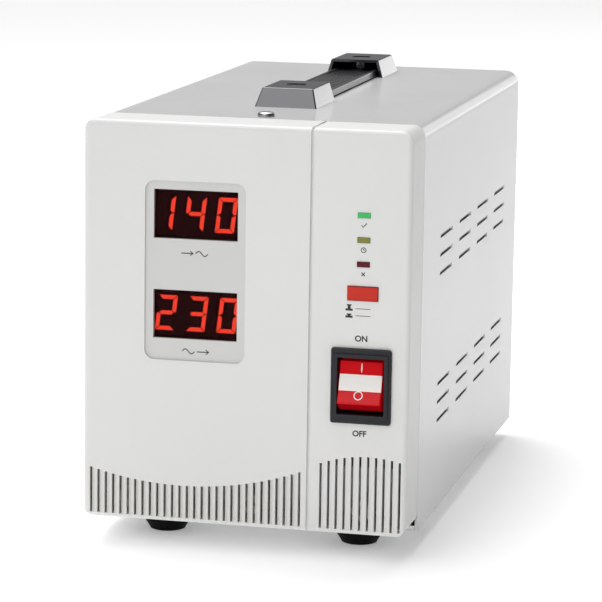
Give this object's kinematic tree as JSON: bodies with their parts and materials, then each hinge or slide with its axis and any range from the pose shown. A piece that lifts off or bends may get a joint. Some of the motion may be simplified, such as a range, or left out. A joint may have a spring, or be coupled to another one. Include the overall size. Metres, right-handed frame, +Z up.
{
  "type": "voltage stabilizer",
  "caption": "Boxy relay voltage stabilizer with a moulded front, numeric displays, a rocker switch, louvred metal case, strap handle and rear outlets.",
  "frame": {"origin": "on the floor under the feet, midway between the case's sides and midway between the foremost point of the switch and the rearmost point of the breaker", "axes": "+X to the right as seen from the front, +Y from the front panel to the rear, +Z up"},
  "size_m": [0.1334, 0.2652, 0.1813],
  "materials": {
    "panel_plastic": "fine moulded texture",
    "case_paint": "semi-gloss powder paint",
    "plated_steel": "zinc plated",
    "screw_steel": "nickel plated",
    "lens_red": "tinted clear plastic",
    "display_black": "matte",
    "digit_red": "lit segments",
    "board_green": "solder mask",
    "lamp_green": "diffused lens",
    "lamp_yellow": "diffused lens",
    "lamp_red": "diffused lens",
    "button_orange": "satin",
    "switch_grey": "satin",
    "rocker_red": "tinted gloss",
    "brass": "plain",
    "handle_plastic": "gloss",
    "strap_vinyl": "gloss, ribbed",
    "foot_rubber": "matte",
    "core_steel": "wound strip",
    "winding_tape": "taped copper winding",
    "relay_blue": "moulded",
    "capacitor_can": "sleeved",
    "connector_white": "moulded",
    "ribbon_grey": "flat cable",
    "lead_red": "insulated wire",
    "lead_blue": "insulated wire",
    "lead_green": "insulated wire",
    "outlet_black": "moulded",
    "breaker_white": "moulded"
  },
  "bodies": {
    "case": {"front_panel": "panel_plastic", "display_lenses": "lens_red", "input_display": "display_black", "output_display": "display_black", "input_digits": "digit_red", "output_digits": "digit_red", "display_board": "board_green", "working_lamp": "lamp_green", "delay_lamp": "lamp_yellow", "abnormal_lamp": "lamp_red", "indicator_board": "board_green", "delay_switch_body": "display_black", "board_screws": "screw_steel", "power_switch_housing": "switch_grey", "switch_terminals": "brass", "case_cover": "case_paint", "chassis": "plated_steel", "rear_panel": "case_paint", "cover_screw": "screw_steel", "panel_screws": "screw_steel", "base_screws": "screw_steel", "chassis_screws": "screw_steel", "rear_screws": "screw_steel", "handle_front_cap": "handle_plastic", "handle_rear_cap": "handle_plastic", "handle_screws": "screw_steel", "handle_nuts": "screw_steel", "feet": "foot_rubber", "foot_screws": "screw_steel", "transformer_core": "core_steel", "transformer_winding": "winding_tape", "transformer_pads": "foot_rubber", "clamp_plate": "plated_steel", "clamp_bolt": "screw_steel", "clamp_nut": "screw_steel", "board_bracket": "plated_steel", "relay_board": "board_green", "board_spacers": "brass", "relays": "relay_blue", "capacitors": "capacitor_can", "board_tabs": "brass", "board_connectors": "connector_white", "ribbon_cable": "ribbon_grey", "tap_leads": "lead_red", "supply_leads": "lead_blue", "earth_lead": "lead_green", "earth_stud": "brass", "left_outlet": "outlet_black", "right_outlet": "outlet_black", "outlet_earth_clips": "brass", "outlet_screws": "screw_steel", "breaker_body": "display_black", "breaker_nut": "screw_steel", "cord_bush": "outlet_black"},
    "rocker": {"power_rocker": "rocker_red"},
    "delay_key": {"delay_button": "button_orange"},
    "breaker_key": {"breaker_button": "breaker_white"},
    "strap": {"handle_strap": "strap_vinyl"}
  },
  "joints": [
    {"name": "rocker_tilt", "type": "hinge", "parent": "case", "child": "rocker", "pos_m": [0.0477, -0.1242, 0.072], "axis": [1, 0, 0], "range_deg": [0, 36]},
    {"name": "delay_press", "type": "slide", "parent": "case", "child": "delay_key", "axis": [0, 1, 0], "range_m": [0, 0.0025], "stiffness_N_per_m": 300, "springref_m": -0.0005},
    {"name": "breaker_trip", "type": "slide", "parent": "case", "child": "breaker_key", "axis": [0, 1, 0], "range_m": [0, 0.0037]},
    {"name": "strap_rise", "type": "slide", "parent": "case", "child": "strap", "axis": [0, 0, 1], "range_m": [0, 0.0022]}
  ]
}
